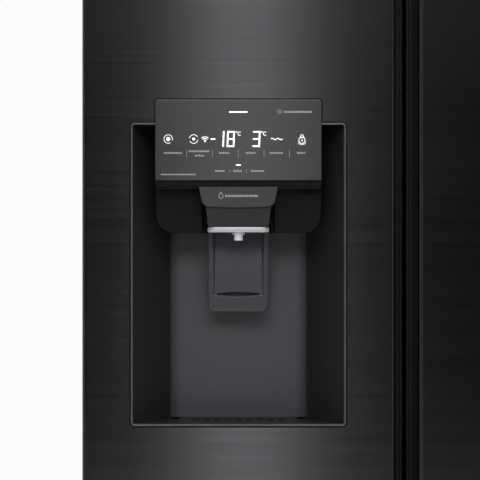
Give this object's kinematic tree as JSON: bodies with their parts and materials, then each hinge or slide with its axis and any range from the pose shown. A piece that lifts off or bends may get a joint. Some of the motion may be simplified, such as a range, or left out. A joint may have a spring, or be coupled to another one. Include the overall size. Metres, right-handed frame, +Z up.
{
  "type": "french door refrigerator",
  "caption": "Tall refrigerator with paired upper doors, an ice and water dispenser in the left door, a folding centre flap and freezer drawers below.",
  "frame": {"origin": "on the floor, in the middle of the whole refrigerator's outline", "axes": "+Z up, front faces -Y, the dispenser door is on the -X side"},
  "size_m": [0.84, 0.734, 1.787],
  "materials": {
    "black_steel": "matte brushed black coated steel",
    "case_paint": "dark grey textured paint",
    "zinc_steel": "zinc plated pressed steel",
    "dark_plastic": "fine grained dark plastic",
    "trim_plastic": "satin dark trim",
    "well_plastic": "satin dark grey plastic",
    "display_face": "dark satin touch panel",
    "grey_plastic": "satin mid grey plastic",
    "silver_plastic": "silver ring",
    "white_liner": "white moulded liner",
    "foam": "rigid polyurethane foam",
    "seal_rubber": "soft gasket",
    "clear_plastic": "clear moulded plastic",
    "shelf_pane": "toughened glass",
    "frost_plastic": "light grey plastic",
    "wire_white": "white plastic basket",
    "bare_aluminium": "mill finish fins and tubes",
    "compressor_black": "gloss black enamel",
    "black_rubber": "moulded rubber",
    "galvanised": "galvanised steel sheet"
  },
  "bodies": {
    "cabinet": {"cabinet_shell": "case_paint", "rear_panel": "galvanised", "cabinet_insulation": "foam", "fridge_liner": "white_liner", "freezer_liner": "white_liner", "front_rails": "case_paint", "top_hinges": "zinc_steel", "mid_hinges": "zinc_steel", "hinge_covers": "dark_plastic", "base_frame": "zinc_steel", "kick_plate": "dark_plastic", "compressor": "compressor_black", "condenser": "bare_aluminium", "machine_cover": "galvanised", "mains_gland": "black_rubber", "air_ducts": "frost_plastic", "evaporators": "bare_aluminium", "shelf_frames": "frost_plastic", "shelf_glass": "shelf_pane", "drawer_rails": "zinc_steel"},
    "left_door": {"left_door_skin": "black_steel", "left_door_core": "foam", "left_door_liner": "white_liner", "left_door_handle": "dark_plastic", "left_door_gasket": "seal_rubber", "left_door_bins": "clear_plastic", "dispenser_trim": "trim_plastic", "dispenser_recess": "well_plastic", "display_panel": "display_face", "dispenser_hood": "dark_plastic", "ice_chute": "grey_plastic", "chute_ring": "silver_plastic", "water_nozzle": "silver_plastic", "ice_room": "white_liner", "ice_room_cover": "white_liner", "ice_maker": "frost_plastic", "ice_bin": "clear_plastic"},
    "right_door": {"right_door_skin": "black_steel", "right_door_core": "foam", "right_door_liner": "white_liner", "right_door_handle": "dark_plastic", "right_door_gasket": "seal_rubber", "right_door_bins": "clear_plastic"},
    "upper_drawer": {"upper_front_skin": "black_steel", "upper_front_panel": "dark_plastic", "upper_gasket": "seal_rubber", "upper_basket": "wire_white"},
    "lower_drawer": {"lower_front_skin": "black_steel", "lower_front_panel": "dark_plastic", "lower_gasket": "seal_rubber", "lower_basket": "wire_white"},
    "flap": {"mullion_flap": "grey_plastic"},
    "lever": {"dispenser_lever": "grey_plastic"},
    "grille": {"drip_grille": "dark_plastic"},
    "left_crisper_drawer": {"left_crisper": "clear_plastic"},
    "right_crisper_drawer": {"right_crisper": "clear_plastic"},
    "fan": {"condenser_fan": "dark_plastic"},
    "left_foot": {"left_leg": "dark_plastic"},
    "right_foot": {"right_leg": "dark_plastic"},
    "rollers": {"rear_rollers": "black_rubber"}
  },
  "joints": [
    {"name": "left_door_hinge", "type": "hinge", "parent": "cabinet", "child": "left_door", "pos_m": [-0.3975, -0.322, 1.236], "axis": [0, 0, -1], "range_deg": [0, 115]},
    {"name": "right_door_hinge", "type": "hinge", "parent": "cabinet", "child": "right_door", "pos_m": [0.3975, -0.322, 1.236], "axis": [0, 0, 1], "range_deg": [0, 115]},
    {"name": "flap_fold", "type": "hinge", "parent": "left_door", "child": "flap", "pos_m": [-0.036, -0.25, 1.226], "axis": [0, 0, 1], "range_deg": [-90, 0]},
    {"name": "upper_drawer_slide", "type": "slide", "parent": "cabinet", "child": "upper_drawer", "axis": [0, -1, 0], "range_m": [0, 0.42]},
    {"name": "lower_drawer_slide", "type": "slide", "parent": "cabinet", "child": "lower_drawer", "axis": [0, -1, 0], "range_m": [0, 0.3]},
    {"name": "left_crisper_slide", "type": "slide", "parent": "cabinet", "child": "left_crisper_drawer", "axis": [0, -1, 0], "range_m": [0, 0.05]},
    {"name": "right_crisper_slide", "type": "slide", "parent": "cabinet", "child": "right_crisper_drawer", "axis": [0, -1, 0], "range_m": [0, 0.05]},
    {"name": "lever_press", "type": "hinge", "parent": "left_door", "child": "lever", "pos_m": [-0.217, -0.318, 1.165], "axis": [1, 0, 0], "range_deg": [0, 10], "stiffness_Nm_per_rad": 0.6, "springref_deg": -5.73},
    {"name": "grille_pull", "type": "slide", "parent": "left_door", "child": "grille", "axis": [0, -1, 0], "range_m": [0, 0.08]},
    {"name": "fan_spin", "type": "hinge", "parent": "cabinet", "child": "fan", "pos_m": [0.27, 0.2595, 0.166], "axis": [1, 0, 0], "continuous": true},
    {"name": "left_leg_screw", "type": "hinge", "parent": "cabinet", "child": "left_foot", "pos_m": [-0.375, -0.237, 0.015], "axis": [0, 0, 1], "continuous": true},
    {"name": "right_leg_screw", "type": "hinge", "parent": "cabinet", "child": "right_foot", "pos_m": [0.375, -0.237, 0.015], "axis": [0, 0, 1], "continuous": true},
    {"name": "rollers_roll", "type": "hinge", "parent": "cabinet", "child": "rollers", "pos_m": [0, 0.333, 0.014], "axis": [1, 0, 0], "continuous": true}
  ]
}
